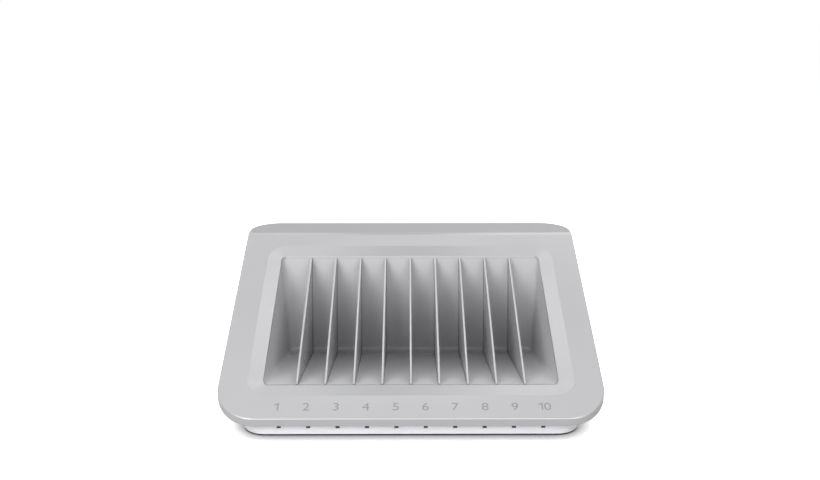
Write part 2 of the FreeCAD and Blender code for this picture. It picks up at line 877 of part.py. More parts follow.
def make_power_supply_cover():
    """Vented sheet that closes the top of the case."""
    cover = supply_block(supply_top - supply_cover_sheet, supply_top)
    middle = supply_front() + terminal_depth + (supply_depth - terminal_depth) / 2
    step = supply_width / (supply_slot_count + 1)
    slots = []
    for index in range(supply_slot_count):
        x = supply_x - supply_width / 2 + step * (index + 1)
        slots.append(
            box(x - supply_slot_width / 2, x + supply_slot_width / 2,
                middle - supply_slot_length / 2, middle + supply_slot_length / 2,
                supply_top - supply_cover_sheet - overrun, supply_top + overrun)
        )
    return cover.cut(slots)


def make_supply_terminals():
    """Terminal block on the supply's cover, along its front edge."""
    y0 = supply_front()
    block = box(supply_x - terminal_width / 2, supply_x + terminal_width / 2, y0, y0 + terminal_depth,
                supply_top, supply_top + terminal_height)
    top = [edge for edge in block.Edges if all(vertex.Z > supply_top + overrun for vertex in edge.Vertexes)]
    return block.makeChamfer(supply_edge / 2, top)


# All pieces, one file each

def make_parts():
    """Every piece of the station, by name."""
    parts = {
        "base_tray": make_base_tray(),
        "deck_cover": make_deck_cover(),
        "well_tub": make_well_tub(),
        "rubber_feet": make_rubber_feet(),
        "led_board": make_led_board(),
        "status_leds": make_status_leds(),
        "rear_panel": make_rear_panel(),
        "charging_board": make_charging_board(),
        "board_coils": make_board_coils(),
        "port_tongues": make_port_tongues(),
        "mains_inlet": make_mains_inlet(),
        "inlet_pins": make_inlet_pins(),
        "switch_housing": make_switch_housing(),
        "switch_rocker": make_switch_rocker(),
        "power_supply_case": make_power_supply_case(),
        "power_supply_cover": make_power_supply_cover(),
        "supply_terminals": make_supply_terminals(),
    }
    for number, x in enumerate(divider_places(), 1):
        parts[f"divider_{number}"] = make_divider(x)
    for number, x in enumerate(bay_places(), 1):
        parts[f"light_pipe_{number}"] = make_light_pipe(x)
    for number, x in enumerate(port_places(), 1):
        parts[f"usb_port_{number}"] = make_usb_port(x)
    return parts


os.makedirs("parts", exist_ok=True)
for name, shape in make_parts().items():
    shape.exportStep(f"parts/{name}.step")
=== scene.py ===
"""Dresses the tablet charging station and sets it on a white studio floor.

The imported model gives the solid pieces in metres, with the front facing -Y and the table at zero height.
This script gives every piece its finish and adds the bay numbers, screws, rolled port shells with their
contacts, and switch marks.
"""

import logging
import math
from dataclasses import dataclass, field
from enum import Enum

import bmesh
import bpy
from mathutils import Matrix, Vector


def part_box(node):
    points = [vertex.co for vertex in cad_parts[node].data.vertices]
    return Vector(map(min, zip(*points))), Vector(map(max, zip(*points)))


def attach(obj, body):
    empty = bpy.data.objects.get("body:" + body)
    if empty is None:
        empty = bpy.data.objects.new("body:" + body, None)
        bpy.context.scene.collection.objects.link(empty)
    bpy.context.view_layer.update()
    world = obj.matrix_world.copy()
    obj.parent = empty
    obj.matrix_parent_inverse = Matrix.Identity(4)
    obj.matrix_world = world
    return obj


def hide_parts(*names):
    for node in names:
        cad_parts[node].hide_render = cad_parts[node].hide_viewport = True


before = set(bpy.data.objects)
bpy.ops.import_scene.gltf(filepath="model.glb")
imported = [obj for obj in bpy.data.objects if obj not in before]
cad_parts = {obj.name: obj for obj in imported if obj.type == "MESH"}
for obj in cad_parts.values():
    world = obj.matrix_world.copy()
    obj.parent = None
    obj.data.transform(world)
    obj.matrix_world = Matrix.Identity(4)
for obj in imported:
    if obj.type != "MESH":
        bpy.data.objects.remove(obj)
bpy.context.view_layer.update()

LOG = logging.getLogger("charging_station")
MM = 0.001
SHARP_DEG = 35.0

Colour = tuple[float, float, float, float]
Place = tuple[float, float, float]
Tree = bpy.types.NodeTree
Socket = bpy.types.NodeSocket


class Body(Enum):
    """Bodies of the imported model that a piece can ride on."""

    STATION = "station"
    ROCKER = "rocker"


class Slot(Enum):
    """Names of material slots for the added pieces, which the script passes along but doesn't use."""

    NUMBERS = "grey_shell"
    SCREWS = "supply_steel"
    CONTACTS = "plated_brass"
    MARKS = "rocker_gloss"
    PORTS = "port_steel"


def linear_colour(hex_code: str) -> Colour:
    """Turns an sRGB hex value into a linear colour.

    Args:
        hex_code: Six hex digits, such as "b8babd".

    Returns:
        Linear red, green and blue, with an alpha of one.
    """
    channels = [int(hex_code[place:place + 2], 16) / 255 for place in (0, 2, 4)]
    # The constants are those of the sRGB standard.
    linear = [((value + 0.055) / 1.055) ** 2.4 if value > 0.04045 else value / 12.92 for value in channels]
    return (linear[0], linear[1], linear[2], 1.0)


def add_node(
    tree: Tree,
    kind: str,
    settings: dict[str | int, object] | None = None,
    links: dict[str | int, Socket] | None = None,
) -> bpy.types.Node:
    """Adds a node with its settings and links.

    Args:
        tree: Node tree that takes the node.
        kind: Blender's name for the node type.
        settings: Values for the node's inputs or properties, by input name, input place or property name.
        links: Output sockets to join to the node's inputs, by input name or place.

    Returns:
        The new node.
    """
    node = tree.nodes.new(kind)
    for key, value in (settings or {}).items():
        if isinstance(key, str) and hasattr(node, key):
            setattr(node, key, value)
        else:
            node.inputs[key].default_value = value
    for key, socket in (links or {}).items():
        tree.links.new(socket, node.inputs[key])
    return node


def new_material(name: str) -> tuple[bpy.types.Material, Tree]:
    """Makes an empty material with nodes.

    Args:
        name: Name of the finish.

    Returns:
        The material and its cleared node tree.
    """
    material = bpy.data.materials.new(name)
    material.use_nodes = True
    material.node_tree.nodes.clear()
    return material, material.node_tree


def add_object(data: bpy.types.ID) -> bpy.types.Object:
    """Puts a mesh, lamp or camera in the scene.

    Args:
        data: The mesh, lamp or camera.

    Returns:
        The new object, which takes the data's name.
    """
    thing = bpy.data.objects.new(data.name, data)
    bpy.context.scene.collection.objects.link(thing)
    return thing


@dataclass(frozen=True)
class MouldedPlastic:
    """Plastic moulded in a spark-eroded tool: a fine even grain, slight flow clouds and softened edges."""

    name: str
    colour: str
    cloud_colour: str
    roughness: float
    grain_mm: float
    grain_depth_mm: float
    cloud_mm: float = 45.0
    edge_mm: float = 0.5
    ior: float = 1.5
    roughness_spread: float = 0.06

    def tint(self, tree: Tree, colour: Socket, edges: Socket) -> Socket:
        """Leaves the moulded colour as it is."""
        return colour

    def sheen(self, tree: Tree, gloss: Socket) -> Socket:
        """Leaves the moulded roughness as it is."""
        return gloss

    def make(self) -> bpy.types.Material:
        """Builds the finish.

        Returns:
            The material.
        """
        material, tree = new_material(self.name)
        place = add_node(tree, "ShaderNodeTexCoord").outputs["Object"]
        clouds = add_node(
            tree, "ShaderNodeTexNoise",
            {"Scale": 1 / (self.cloud_mm * MM), "Detail": 2.0, "Roughness": 0.5}, {"Vector": place},
        )
        colour = add_node(
            tree, "ShaderNodeMix",
            {"data_type": "RGBA", 6: linear_colour(self.colour), 7: linear_colour(self.cloud_colour)},
            {0: clouds.outputs["Fac"]},
        )
        grain = add_node(
            tree, "ShaderNodeTexNoise",
            {"Scale": 1 / (self.grain_mm * MM), "Detail": 3.0, "Roughness": 0.6}, {"Vector": place},
        )
        least, most = self.roughness - self.roughness_spread, self.roughness + self.roughness_spread
        gloss = add_node(
            tree, "ShaderNodeMapRange", {"To Min": least, "To Max": most}, {"Value": grain.outputs["Fac"]},
        )
        edges = add_node(tree, "ShaderNodeBevel", {"samples": 6, "Radius": self.edge_mm * MM})
        relief = add_node(
            tree, "ShaderNodeBump", {"Strength": 0.5, "Distance": self.grain_depth_mm * MM},
            {"Height": grain.outputs["Fac"], "Normal": edges.outputs["Normal"]},
        )
        surface = add_node(
            tree, "ShaderNodeBsdfPrincipled", {"IOR": self.ior},
            {
                "Base Color": self.tint(tree, colour.outputs[2], edges.outputs["Normal"]),
                "Roughness": self.sheen(tree, gloss.outputs["Result"]), "Normal": relief.outputs["Normal"],
            },
        )
        add_node(tree, "ShaderNodeOutputMaterial", {}, {"Surface": surface.outputs["BSDF"]})
        return material


@dataclass(frozen=True)
class HandledPlastic(MouldedPlastic):
    """Moulded plastic with a duller grain on lip and strip, painted shade, a painted edge highlight and a rim
    painted paler.
    """

    # Painted highlight: a pale line painted along the deck's rounded front edge, where the surface faces up
    # and forward.
    rubbed_colour: str = "e8e8ea"
    rubbed_rise_deg: float = 38.0
    rubbed_near_deg: float = 7.0
    rubbed_far_deg: float = 14.0
    # Painted shade: the upright lip and the level strip are painted one tone darker; their duller roughness
    # is the real coarser grain.
    coarse_colour: str = "a6a6a8"
    coarse_roughness: float = 0.55
    upward_deg: float = 90.0
    level_near_deg: float = 5.0
    level_far_deg: float = 12.0
    lip_near_deg: float = 84.0
    lip_far_deg: float = 70.0
    mouth_middle_mm: float = -23.5
    mouth_half_mm: tuple[float, float] = (180.0, 115.0)
    # Painted light: the mouth's cut rim is painted in the well's paler tone, which hides the shade on it.
    rim_colour: str = "c5c5c7"
    rim_rises_deg: tuple[float, float] = (10.2, 100.2)
    # Painted shade: the middle of the bevels behind and in front of the mouth is painted darker, where their
    # reflection is dimmer.
    worn_colour: str = "a8a8aa"
    worn_rises_deg: tuple[float, float] = (56.1, 73.9)
    worn_near_deg: float = 2.0
    worn_far_deg: float = 6.0
    worn_full_mm: float = 20.0
    worn_end_mm: float = 130.0

    def facing(self, tree: Tree, rise_deg: float, near_deg: float, far_deg: float) -> Socket:
        """Picks out the surface by how far it turns from a direction in front of the deck.

        Args:
            tree: Node tree to add to.
            rise_deg: How far the direction rises from the level, towards straight up and past it.
            near_deg: Turn from the direction at which the surface counts fully.
            far_deg: Turn at which it doesn't count.

        Returns:
            A value of one where the surface counts, fading to zero.
        """
        rise = math.radians(rise_deg)
        share = add_node(
            tree, "ShaderNodeVectorMath",
            {"operation": "DOT_PRODUCT", 1: (0, -math.cos(rise), math.sin(rise))},
            {0: add_node(tree, "ShaderNodeTexCoord").outputs["Normal"]},
        )
        near, far = math.cos(math.radians(near_deg)), math.cos(math.radians(far_deg))
        counted = add_node(
            tree, "ShaderNodeMapRange",
            {"From Min": far, "From Max": near}, {"Value": share.outputs["Value"]},
        )
        return counted.outputs["Result"]

    def spread(self, tree: Tree, halves_mm: tuple[float, float]) -> Socket:
        """Measures how far a point lies from the middle of the mouth, as a share of a box seen from above.

        Args:
            tree: Node tree to add to.
            halves_mm: Half the box's width and depth.

        Returns:
            A value of one on the box's sides, less inside it and more outside it.
        """
        wide, deep = halves_mm
        shares = add_node(
            tree, "ShaderNodeVectorMath",
            {
                "operation": "MULTIPLY_ADD", 1: (1 / (wide * MM), 1 / (deep * MM), 0),
                2: (0, -self.mouth_middle_mm / deep, 0),
            },
            {0: add_node(tree, "ShaderNodeTexCoord").outputs["Object"]},
        )
        sizes = add_node(tree, "ShaderNodeVectorMath", {"operation": "ABSOLUTE"}, {0: shares.outputs[0]})
        sides = add_node(tree, "ShaderNodeSeparateXYZ", {}, {0: sizes.outputs["Vector"]}).outputs
        most = add_node(tree, "ShaderNodeMath", {"operation": "MAXIMUM"}, {0: sides["X"], 1: sides["Y"]})
        return most.outputs[0]

    def within(self, tree: Tree, faces: tuple[Socket, Socket], gate: Socket) -> Socket:
        """Keeps two picked-out faces where a gate is open.

        Args:
            tree: Node tree to add to.
            faces: A value of one on each face.
            gate: A value of one where the gate is open.

        Returns:
            A value of one on either face inside the gate.
        """
        either = add_node(tree, "ShaderNodeMath", {"operation": "MAXIMUM"}, {0: faces[0], 1: faces[1]})
        kept = add_node(tree, "ShaderNodeMath", {"operation": "MULTIPLY"}, {0: either.outputs[0], 1: gate})
        return kept.outputs[0]

    def coarse(self, tree: Tree) -> Socket:
        """Picks out the level strip and the upright lip, both outside the mouth.

        Args:
            tree: Node tree to add to.

        Returns:
            A value of one on the coarser grain, which also takes painted shade.
        """
        level = self.facing(tree, self.upward_deg, self.level_near_deg, self.level_far_deg)
        upright = self.facing(tree, self.upward_deg, self.lip_near_deg, self.lip_far_deg)
        outside = add_node(
            tree, "ShaderNodeMath", {"operation": "GREATER_THAN", 1: 1.0},
            {0: self.spread(tree, self.mouth_half_mm)},
        )
        return self.within(tree, (level, upright), outside.outputs[0])

    def rim(self, tree: Tree) -> Socket:
        """Picks out the mouth's cut rim, which carries on the well's back wall and floor.

        Args:
            tree: Node tree to add to.

        Returns:
            A value of one on the rim.
        """
        wall, floor = (
            self.facing(tree, rise, self.level_near_deg, self.level_far_deg) for rise in self.rim_rises_deg
        )
        inside = add_node(
            tree, "ShaderNodeMath", {"operation": "LESS_THAN", 1: 1.0},
            {0: self.spread(tree, self.mouth_half_mm)},
        )
        return self.within(tree, (wall, floor), inside.outputs[0])

    def worn(self, tree: Tree) -> Socket:
        """Picks out the middle of the bevels behind and in front of the mouth.

        Args:
            tree: Node tree to add to.

        Returns:
            A value of one in the bevels' middles, where shade is painted, fading towards both ends.
        """
        back, front = (
            self.facing(tree, rise, self.worn_near_deg, self.worn_far_deg) for rise in self.worn_rises_deg
        )
        full = self.worn_full_mm / self.worn_end_mm
        middle = add_node(
            tree, "ShaderNodeMapRange",
            {"interpolation_type": "SMOOTHSTEP", "From Min": 1.0, "From Max": full},
            {"Value": self.spread(tree, (self.worn_end_mm, math.inf))},
        )
        return self.within(tree, (back, front), middle.outputs["Result"])

    def sheen(self, tree: Tree, gloss: Socket) -> Socket:
        """Dulls the coarser grain."""
        dulled = add_node(tree, "ShaderNodeMix", {3: self.coarse_roughness}, {0: self.coarse(tree), 2: gloss})
        return dulled.outputs[0]

    def tint(self, tree: Tree, colour: Socket, edges: Socket) -> Socket:
        """Paints shade on the coarser grain and the bevel middles, a paler tone on the rim and a highlight on
        the front edge.

        Args:
            tree: Node tree to add to.
            colour: The moulded colour.
            edges: Normal of the surface with softened edges; not used.

        Returns:
            The colour with the painted light and shade.
        """
        # Painted light and shade: a highlight on the front edge, shade on the lip, strip and bevel middles, a
        # paler rim.
        edge_highlight = self.facing(tree, self.rubbed_rise_deg, self.rubbed_near_deg, self.rubbed_far_deg)
        tones = (
            (self.coarse_colour, self.coarse(tree)), (self.rim_colour, self.rim(tree)),
            (self.worn_colour, self.worn(tree)), (self.rubbed_colour, edge_highlight),
        )
        for tone, share in tones:
            mixed = add_node(
                tree, "ShaderNodeMix", {"data_type": "RGBA", 7: linear_colour(tone)}, {0: share, 6: colour},
            )
            colour = mixed.outputs[2]
        return colour


@dataclass(frozen=True)
class CutSheet(MouldedPlastic):
    """Plastic sheet cut to shape: shiny faces, a painted highlight on the cut edges, and painted shade near
    other surfaces, as where it sits in its groove.
    """

    # Painted highlight: the cut edges are painted near white.
    cut_colour: str = "fcfcfe"
    cut_turn_deg: float = 20.0
    # Painted shade: the colour darkens within this reach of other surfaces.
    dust_reach_mm: float = 14.0
    dust_depth: float = 0.8

    def tint(self, tree: Tree, colour: Socket, edges: Socket) -> Socket:
        """Paints a highlight along the cut edges and shade towards the groove.

        Args:
            tree: Node tree to add to.
            colour: The sheet's colour.
            edges: Normal of the surface with softened edges.

        Returns:
            The colour with the painted highlight and shade.
        """
        # Painted shade near other surfaces, as in the groove.
        hollow = add_node(
            tree, "ShaderNodeAmbientOcclusion", {"samples": 8, "Distance": self.dust_reach_mm * MM},
        )
        painted_shade = add_node(
            tree, "ShaderNodeMath", {"operation": "POWER", 1: self.dust_depth}, {0: hollow.outputs["AO"]},
        )
        shaded_colour = add_node(
            tree, "ShaderNodeVectorMath", {"operation": "SCALE"}, {0: colour, "Scale": painted_shade.outputs["Value"]},
        )
        # Painted highlight along the cut edges.
        turn = add_node(
            tree, "ShaderNodeVectorMath", {"operation": "DOT_PRODUCT"},
            {0: edges, 1: add_node(tree, "ShaderNodeNewGeometry").outputs["Normal"]},
        )
        turned = math.cos(math.radians(self.cut_turn_deg))
        cut = add_node(
            tree, "ShaderNodeMapRange",
            {"From Min": 1.0, "From Max": turned}, {"Value": turn.outputs["Value"]},
        )
        highlighted = add_node(
            tree, "ShaderNodeMix", {"data_type": "RGBA", 7: linear_colour(self.cut_colour)},
            {0: cut.outputs["Result"], 6: shaded_colour.outputs["Vector"]},
        )
        return highlighted.outputs[2]


@dataclass(frozen=True)
class RolledMetal:
    """Metal that was rolled or drawn, plated or bare: a bright colour with faint lines along its length."""

    name: str
    colour: str
    roughness: float
    line_mm: float
    line_depth_mm: float
    line_stretch_share: float = 0.04
    edge_mm: float = 0.15
    roughness_spread: float = 0.08

    def make(self) -> bpy.types.Material:
        """Builds the finish.

        Returns:
            The material.
        """
        material, tree = new_material(self.name)
        place = add_node(tree, "ShaderNodeTexCoord").outputs["Object"]
        stretched = add_node(
            tree, "ShaderNodeMapping", {"Scale": (1.0, self.line_stretch_share, 1.0)}, {"Vector": place},
        )
        lines = add_node(
            tree, "ShaderNodeTexNoise",
            {"Scale": 1 / (self.line_mm * MM), "Detail": 4.0}, {"Vector": stretched.outputs["Vector"]},
        )
        least, most = self.roughness - self.roughness_spread, self.roughness + self.roughness_spread
        gloss = add_node(
            tree, "ShaderNodeMapRange", {"To Min": least, "To Max": most}, {"Value": lines.outputs["Fac"]},
        )
        edges = add_node(tree, "ShaderNodeBevel", {"samples": 6, "Radius": self.edge_mm * MM})
        relief = add_node(
            tree, "ShaderNodeBump", {"Strength": 0.4, "Distance": self.line_depth_mm * MM},
            {"Height": lines.outputs["Fac"], "Normal": edges.outputs["Normal"]},
        )
        surface = add_node(
            tree, "ShaderNodeBsdfPrincipled", {"Metallic": 1.0, "Base Color": linear_colour(self.colour)},
            {"Roughness": gloss.outputs["Result"], "Normal": relief.outputs["Normal"]},
        )
        add_node(tree, "ShaderNodeOutputMaterial", {}, {"Surface": surface.outputs["BSDF"]})
        return material


@dataclass(frozen=True)
class SolderMask:
    """Green solder mask over copper tracks: glossy, with paler lines where the copper lies under it."""

    name: str
    colour: str
    track_colour: str
    track_mm: float
    track_width_share: float = 0.06
    track_length_share: float = 4.0
    mask_depth_mm: float = 0.05
    roughness: float = 0.3
    ior: float = 1.55

    def make(self) -> bpy.types.Material:
        """Builds the finish.

        Returns:
            The material.
        """
        material, tree = new_material(self.name)
        green = linear_colour(self.colour)
        tracks = add_node(
            tree, "ShaderNodeTexBrick",
            {
                "Scale": 1 / (self.track_mm * MM), "Mortar Size": self.track_width_share,
                "Brick Width": self.track_length_share, "Row Height": 1.0,
                "Color1": green, "Color2": green, "Mortar": linear_colour(self.track_colour),
            },
            {"Vector": add_node(tree, "ShaderNodeTexCoord").outputs["Object"]},
        )
        relief = add_node(
            tree, "ShaderNodeBump", {"Strength": 0.3, "Distance": self.mask_depth_mm * MM},
            {"Height": tracks.outputs["Fac"]},
        )
        surface = add_node(
            tree, "ShaderNodeBsdfPrincipled", {"Roughness": self.roughness, "IOR": self.ior},
            {"Base Color": tracks.outputs["Color"], "Normal": relief.outputs["Normal"]},
        )
        add_node(tree, "ShaderNodeOutputMaterial", {}, {"Surface": surface.outputs["BSDF"]})
        return material


class Finish(Enum):
    """Finishes of the station, each named for its real material and how its surface was made.

    A plastic's numbers are its roughness, the size and depth of its grain, then the size of its clouds, the
    rounding of its edges and its IOR where they aren't the usual ones. A metal's are its roughness and the
    size and depth of its lines, and the board's is the spacing of its tracks. All sizes are in millimetres.
    Real grains and rolled lines are about 0.1 mm or finer, too fine to show, so all are drawn coarser.
    """

    # Satin grey ABS: an even sheen, with a duller lip and level strip that take painted shade, a painted
    # highlight along the front edge, a rim painted paler and painted shade in the middle of the bevels.
    DECK = HandledPlastic("satin_grey_moulded_abs", "b2b2b4", "b5b5b7", 0.2, 1.2, 0.0016)
    # White ABS with a violet tinter: a smoother tool gives it a soft even shine.
    BASE = MouldedPlastic("white_moulded_abs", "f3f1f7", "f5f3f9", 0.36, 1.2, 0.003)
    # Matt ABS, painted a touch paler than the deck as painted light that lifts the shade inside the well.
    WELL = MouldedPlastic("matt_grey_moulded_abs", "c5c5c7", "c8c8ca", 0.45, 1.4, 0.004)
    # Polystyrene sheet of about the deck's grey: shiny faces, a painted highlight on the cut edges and
    # painted shade at its foot.
    DIVIDER = CutSheet("pale_polystyrene_sheet", "b5b5b7", "b9b9bb", 0.26, 1.6, 0.002, 60.0, 0.4)
    # Dark smoked acrylic: almost black, with a clean polished face.
    LENS = MouldedPlastic("smoked_moulded_acrylic", "17181a", "1d1f22", 0.14, 1.0, 0.002, 3.0, 0.15, 1.49)
    # Clear-topped light chips, milky from the phosphor under the lens.
    LED = MouldedPlastic("milky_moulded_silicone", "e6e3c8", "efedd9", 0.25, 0.6, 0.004, 2.0, 0.1, 1.42)
    # Grey ABS panel: one tone deeper than the deck, and duller.
    PANEL = MouldedPlastic("panel_grey_moulded_abs", "9b9da0", "a0a2a5", 0.45, 1.0, 0.012)
    # Glass-filled nylon: black, dull, with the faint clouds that the fibres leave.
    NYLON = MouldedPlastic("black_moulded_nylon", "151617", "1d1e1f", 0.5, 0.8, 0.01, 6.0, 0.3, 1.53)
    # Polished black polycarbonate on the rocker: the one glossy piece at the back.
    ROCKER = MouldedPlastic(
        "gloss_black_polycarbonate", "0e0e0f", "121213", 0.16, 0.8, 0.002, 6.0, 0.35, 1.58,
    )
    # Black thermoset blocks inside the ports and the supply's terminals: flat, with hardly a highlight.
    BLOCK = MouldedPlastic("black_moulded_thermoset", "1a1a1b", "222223", 0.55, 0.6, 0.01, 4.0, 0.15, 1.54)
    # Silicone rubber feet: dark grey, dull, with a slightly dusty face.
    RUBBER = MouldedPlastic("dull_moulded_rubber", "2b2c2d", "393a3b", 0.8, 0.7, 0.03, 5.0, 0.5, 1.42)
    # Sintered ferrite: charcoal and grainy.
    FERRITE = MouldedPlastic("sintered_ferrite", "2a2a2c", "37373a", 0.6, 0.5, 0.03, 3.0, 0.3, 1.6)
    # Grey ink, pad printed: a thin dull film on the deck.
    INK = MouldedPlastic("grey_printed_ink", "848588", "88898c", 0.4, 0.8, 0.004, 8.0, 0.02)
    # White ink on the rocker: a thin dull film that stands out on the gloss black.
    MARK = MouldedPlastic("white_printed_ink", "e4e5e6", "eaebec", 0.5, 0.6, 0.004, 4.0, 0.02)
    # Nickel-plated steel port shells: warm grey and bright, rolled along their length.
    PORT = RolledMetal("nickel_plated_steel", "c2beb6", 0.28, 0.25, 0.004)
    # Gold flash on the port contacts: a yellow gleam inside the dark ports.
    GOLD = RolledMetal("gold_flashed_copper", "d8b45e", 0.25, 0.2, 0.003)
    # Nickel-plated brass inlet pins: a warm pale shine.
    BRASS = RolledMetal("nickel_plated_brass", "cfc8b2", 0.3, 0.25, 0.004)
    # Zinc-plated screws and the supply's cover: a cool grey shine.
    ZINC = RolledMetal("zinc_plated_steel", "b4b7ba", 0.34, 0.3, 0.006)
    # Mill-finish aluminium of the supply's folded case: pale, with soft broad highlights.
    ALUMINIUM = RolledMetal("mill_finish_aluminium", "c8cacc", 0.38, 0.4, 0.008)
    # Solder mask on the circuit boards: glossy green with paler tracks.
    BOARD = SolderMask("green_solder_mask", "0f4a2e", "1c6a43", 1.6)


@dataclass
class Palette:
    """Makes each finish once and hands it out."""

    made: dict[Finish, bpy.types.Material] = field(default_factory=dict)

    def get(self, finish: Finish) -> bpy.types.Material:
        """Returns the finish's material, made on first use.

        Args:
            finish: Finish to hand out.

        Returns:
            The material.
        """
        if finish not in self.made:
            self.made[finish] = finish.value.make()
        return self.made[finish]

    def dress(self, node: str, finish: Finish) -> None:
        """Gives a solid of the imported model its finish.

        Args:
            node: Name of the solid's node.
            finish: Finish to give it.
        """
        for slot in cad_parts[node].material_slots:
            slot.material = self.get(finish)
        LOG.info("%s: %s", node, finish.value.name)

    def add(self, mesh: bpy.types.Mesh, finish: Finish, slot: Slot, body: Body) -> bpy.types.Object:
        """Adds a new piece with its finish and sets it riding on a body.

        Args:
            mesh: The piece's mesh, in place, in metres, which gives the piece its name.
            finish: Finish to give it.
            slot: Slot that the finish belongs to; not used.
            body: Body that carries the piece.

        Returns:
            The new piece.
        """
        piece = add_object(mesh)
        mesh.materials.append(self.get(finish))
        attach(piece, body.value)
        LOG.info("%s: %s, on %s", piece.name, finish.value.name, body.value)
        return piece


def rounded_rectangle(width: float, height: float, radius: float, steps: int) -> list[tuple[float, float]]:
    """Works out a rectangle with round corners.

    Args:
        width: Full width.
        height: Full height.
        radius: Corner radius.
        steps: Straight pieces in each corner's round.

    Returns:
        Points round the outline, anticlockwise.
    """
    points = []
    for quarter, (side, rise) in enumerate(((1, 1), (-1, 1), (-1, -1), (1, -1))):
        middle = (side * (width / 2 - radius), rise * (height / 2 - radius))
        for step in range(steps + 1):
            angle = math.pi / 2 * (quarter + step / steps)
            points.append((middle[0] + radius * math.cos(angle), middle[1] + radius * math.sin(angle)))
    return points


def circle(radius: float, level: float, sides: int) -> list[Vector]:
    """Works out the points of a level circle, anticlockwise."""
    turns = [math.tau * side / sides for side in range(sides)]
    return [Vector((radius * math.cos(turn), radius * math.sin(turn), level)) for turn in turns]


def add_skin(model: bmesh.types.BMesh, loops: list[list[Vector]], cap_ends: bool = True) -> None:
    """Adds a skin over a row of closed loops that have the same number of points.

    Args:
        model: The bmesh that takes the skin.
        loops: Points of each loop, in order along the row.
        cap_ends: Whether the first and last loops are closed with a face.
    """
    rings = [[model.verts.new(point) for point in loop] for loop in loops]
    for first, second in zip(rings, rings[1:]):
        for place, vertex in enumerate(first):
            following = (place + 1) % len(first)
            model.faces.new((vertex, first[following], second[following], second[place]))
    if cap_ends:
        model.faces.new(list(reversed(rings[0])))
        model.faces.new(rings[-1])


def smooth_mesh(mesh: bpy.types.Mesh) -> bpy.types.Mesh:
    """Smooths a mesh apart from its sharp edges.

    Args:
        mesh: The mesh.

    Returns:
        The same mesh.
    """
    mesh.polygons.foreach_set("use_smooth", [True] * len(mesh.polygons))
    mesh.set_sharp_from_angle(angle=math.radians(SHARP_DEG))
    return mesh


def close_mesh(name: str, model: bmesh.types.BMesh) -> bpy.types.Mesh:
    """Turns a finished bmesh into a smooth mesh with sharp edges.

    Args:
        name: Name of the mesh.
        model: The bmesh, which is freed.

    Returns:
        The mesh.
    """
    bmesh.ops.recalc_face_normals(model, faces=model.faces)
    mesh = bpy.data.meshes.new(name)
    model.to_mesh(mesh)
    model.free()
    return smooth_mesh(mesh)


def skin_loops(name: str, loops: list[list[Vector]]) -> bpy.types.Mesh:
    """Makes a closed mesh over a row of loops.

    Args:
        name: Name of the mesh.
        loops: Points of each loop, in order along the row.

    Returns:
        The mesh, smooth apart from its sharp edges.
    """
    model = bmesh.new()
    add_skin(model, loops)
    return close_mesh(name, model)


def cut_mesh(name: str, solid: bpy.types.Mesh, cutter: bpy.types.Mesh) -> bpy.types.Mesh:
    """Cuts one closed mesh out of another.

    Args:
        name: Name of the new mesh.
        solid: Mesh that is cut.
        cutter: Mesh that is taken away.

    Returns:
        The cut mesh. The two meshes that went in are removed.
    """
    pieces = [add_object(mesh) for mesh in (solid, cutter)]
    cut = pieces[0].modifiers.new("cut", "BOOLEAN")
    cut.operation = "DIFFERENCE"
    cut.solver = "EXACT"
    cut.object = pieces[1]
    graph = bpy.context.evaluated_depsgraph_get()
    result = bpy.data.meshes.new_from_object(pieces[0].evaluated_get(graph))
    for piece in pieces:
        bpy.data.objects.remove(piece)
    for mesh in (solid, cutter):
        bpy.data.meshes.remove(mesh)
    result.name = name
    return smooth_mesh(result)


@dataclass(frozen=True)
class Lamp:
    """A soft square-edged studio lamp, placed by the direction it shines from.

    An elevation over 90 degrees leans past straight up, to the other side.
    """

    name: str
    azimuth_deg: float
    elevation_deg: float
    distance: float
    width: float
    height: float
    power: float

    def hang(self, aim: Vector) -> None:
        """Hangs the lamp and turns it towards a point.

        Args:
            aim: Point that the lamp shines on.
        """
        azimuth, elevation = math.radians(self.azimuth_deg), math.radians(self.elevation_deg)
        flat = math.cos(elevation)
        back = Vector((math.sin(azimuth) * flat, -math.cos(azimuth) * flat, math.sin(elevation)))
        side = Vector((math.cos(azimuth), math.sin(azimuth), 0))
        turn = Matrix((side, back.cross(side), back)).transposed()
        data = bpy.data.lights.new(self.name, "AREA")
        data.shape = "RECTANGLE"
        data.size, data.size_y = self.width, self.height
        data.energy = self.power
        lamp = add_object(data)
        lamp.matrix_world = Matrix.Translation(aim + back * self.distance) @ turn.to_4x4()


